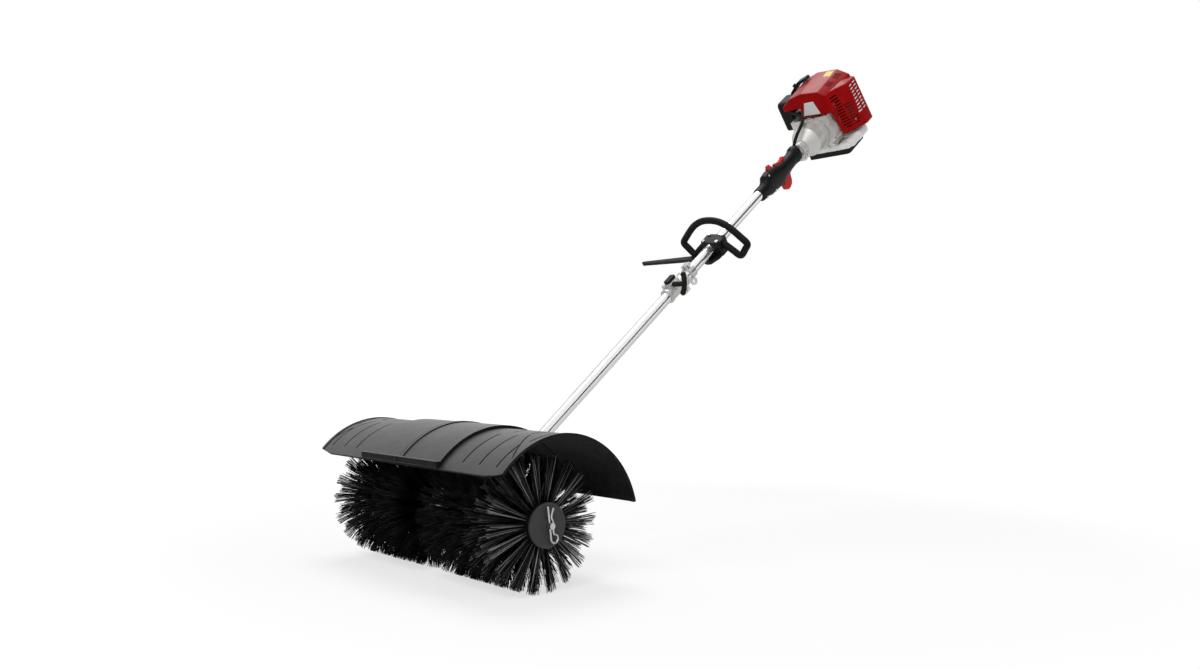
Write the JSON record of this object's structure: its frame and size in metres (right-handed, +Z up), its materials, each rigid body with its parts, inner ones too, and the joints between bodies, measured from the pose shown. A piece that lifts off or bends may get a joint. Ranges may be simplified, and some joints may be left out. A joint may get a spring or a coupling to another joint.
{
  "type": "power brush sweeper",
  "caption": "Walk-behind power brush: nylon brush drums under an arched fender, worm gear head, split pole with loop handle and throttle grip, small petrol engine at the top.",
  "frame": {"origin": "centre of the footprint, on the floor that the brush stands on", "axes": "X across along the brush axle, towards the operator's left; -Y the way it is pushed; Z up"},
  "size_m": [0.661, 1.5088, 1.2752],
  "materials": {
    "bristle": "black nylon",
    "black_plastic": "satin moulded",
    "grey_plastic": "satin moulded",
    "rubber": "matt",
    "steel": "bright",
    "aluminium": "drawn tube, bright",
    "cast": "die cast",
    "bronze": "machined",
    "red_plastic": "gloss moulded",
    "milk_plastic": "translucent",
    "ceramic": "glazed"
  },
  "bodies": {
    "frame": {"gear_case_left": "cast", "gear_case_right": "cast", "gear_bearings": "steel", "axle_seals": "rubber", "gear_case_bolts": "steel", "fender_left": "black_plastic", "fender_right": "black_plastic", "fender_bracket": "steel", "fender_bolts": "steel", "lower_tube": "aluminium", "upper_tube": "aluminium", "tube_bushes": "rubber", "coupler_body": "cast", "harness_hanger": "steel", "pole_bolts": "steel", "loop_handle": "black_plastic", "handle_clamp_top": "black_plastic", "handle_clamp_base": "black_plastic", "barrier_bar": "black_plastic", "grip_left": "black_plastic", "grip_right": "black_plastic", "grip_screws": "steel", "throttle_cable": "rubber", "clutch_housing": "cast", "crankcase": "cast", "engine_cylinder": "cast", "spark_plug": "ceramic", "fan_case": "cast", "engine_shroud": "red_plastic", "engine_bolts": "steel", "muffler": "steel", "carburettor": "cast", "air_filter_cover": "black_plastic", "fuel_tank": "milk_plastic", "tank_skid": "black_plastic", "recoil_starter": "black_plastic"},
    "brush": {"bristles_left": "bristle", "bristles_right": "bristle", "drum_core_left": "grey_plastic", "drum_core_right": "grey_plastic", "hub_plates": "grey_plastic", "hairpins": "steel", "brush_axle": "steel", "worm_wheel": "bronze"},
    "drive": {"worm": "steel", "lower_drive_shaft": "steel", "upper_drive_shaft": "steel", "clutch_drum": "steel"},
    "crank": {"crankshaft": "steel", "flywheel": "cast", "clutch_shoes": "steel"},
    "piston": {"piston": "cast"},
    "knob": {"coupler_knob": "black_plastic"},
    "lock": {"coupler_lock": "black_plastic"},
    "trigger": {"throttle_trigger": "red_plastic"},
    "lockout": {"trigger_lockout": "red_plastic"},
    "switch": {"stop_switch": "red_plastic"},
    "choke": {"choke_lever": "red_plastic"},
    "cap": {"fuel_cap": "black_plastic"},
    "pull": {"starter_grip": "black_plastic"}
  },
  "joints": [
    {"name": "brush_spin", "type": "hinge", "parent": "frame", "child": "brush", "pos_m": [0, -0.61073, 0.128], "axis": [1, 0, 0], "continuous": true},
    {"name": "drive_spin", "type": "hinge", "parent": "frame", "child": "drive", "pos_m": [0, -0.5871, 0.09953], "axis": [0, 0.7694, 0.6388], "continuous": true},
    {"name": "crank_spin", "type": "hinge", "parent": "frame", "child": "crank", "pos_m": [0, 0.5293, 1.02638], "axis": [0, 0.7694, 0.6388], "continuous": true},
    {"name": "piston_slide", "type": "slide", "parent": "frame", "child": "piston", "axis": [0, -0.6388, 0.7694], "range_m": [-0.03, 0]},
    {"name": "coupler_knob_turn", "type": "hinge", "parent": "frame", "child": "knob", "pos_m": [0, 0.01212, 0.62236], "axis": [1, 0, 0], "range_deg": [0, 540]},
    {"name": "coupler_lock_lift", "type": "slide", "parent": "frame", "child": "lock", "axis": [0, -0.6388, 0.7694], "range_m": [0, 0.006], "stiffness_N_per_m": 800},
    {"name": "throttle_trigger_pull", "type": "hinge", "parent": "frame", "child": "trigger", "pos_m": [0, 0.4913, 0.96884], "axis": [-1, 0, 0], "range_deg": [0, 20], "stiffness_Nm_per_rad": 0.5},
    {"name": "trigger_lockout_press", "type": "hinge", "parent": "frame", "child": "lockout", "pos_m": [0, 0.43401, 0.97522], "axis": [-1, 0, 0], "range_deg": [0, 4.5], "stiffness_Nm_per_rad": 1},
    {"name": "stop_switch_slide", "type": "slide", "parent": "frame", "child": "switch", "axis": [0, 0.7694, 0.6388], "range_m": [0, 0.006]},
    {"name": "choke_lever_turn", "type": "hinge", "parent": "frame", "child": "choke", "pos_m": [-0.062, 0.62944, 1.17191], "axis": [0, -0.7694, -0.6388], "range_deg": [0, 35]},
    {"name": "fuel_cap_turn", "type": "hinge", "parent": "frame", "child": "cap", "pos_m": [0, 0.71689, 1.10414], "axis": [-1, 0, 0], "range_deg": [0, 270]},
    {"name": "starter_pull", "type": "slide", "parent": "frame", "child": "pull", "axis": [0, -0.6388, 0.7694], "range_m": [0, 0.6], "stiffness_N_per_m": 20}
  ],
  "couplings": [
    {"joint": "drive_spin", "follows": "brush_spin", "ratio": -26}
  ]
}
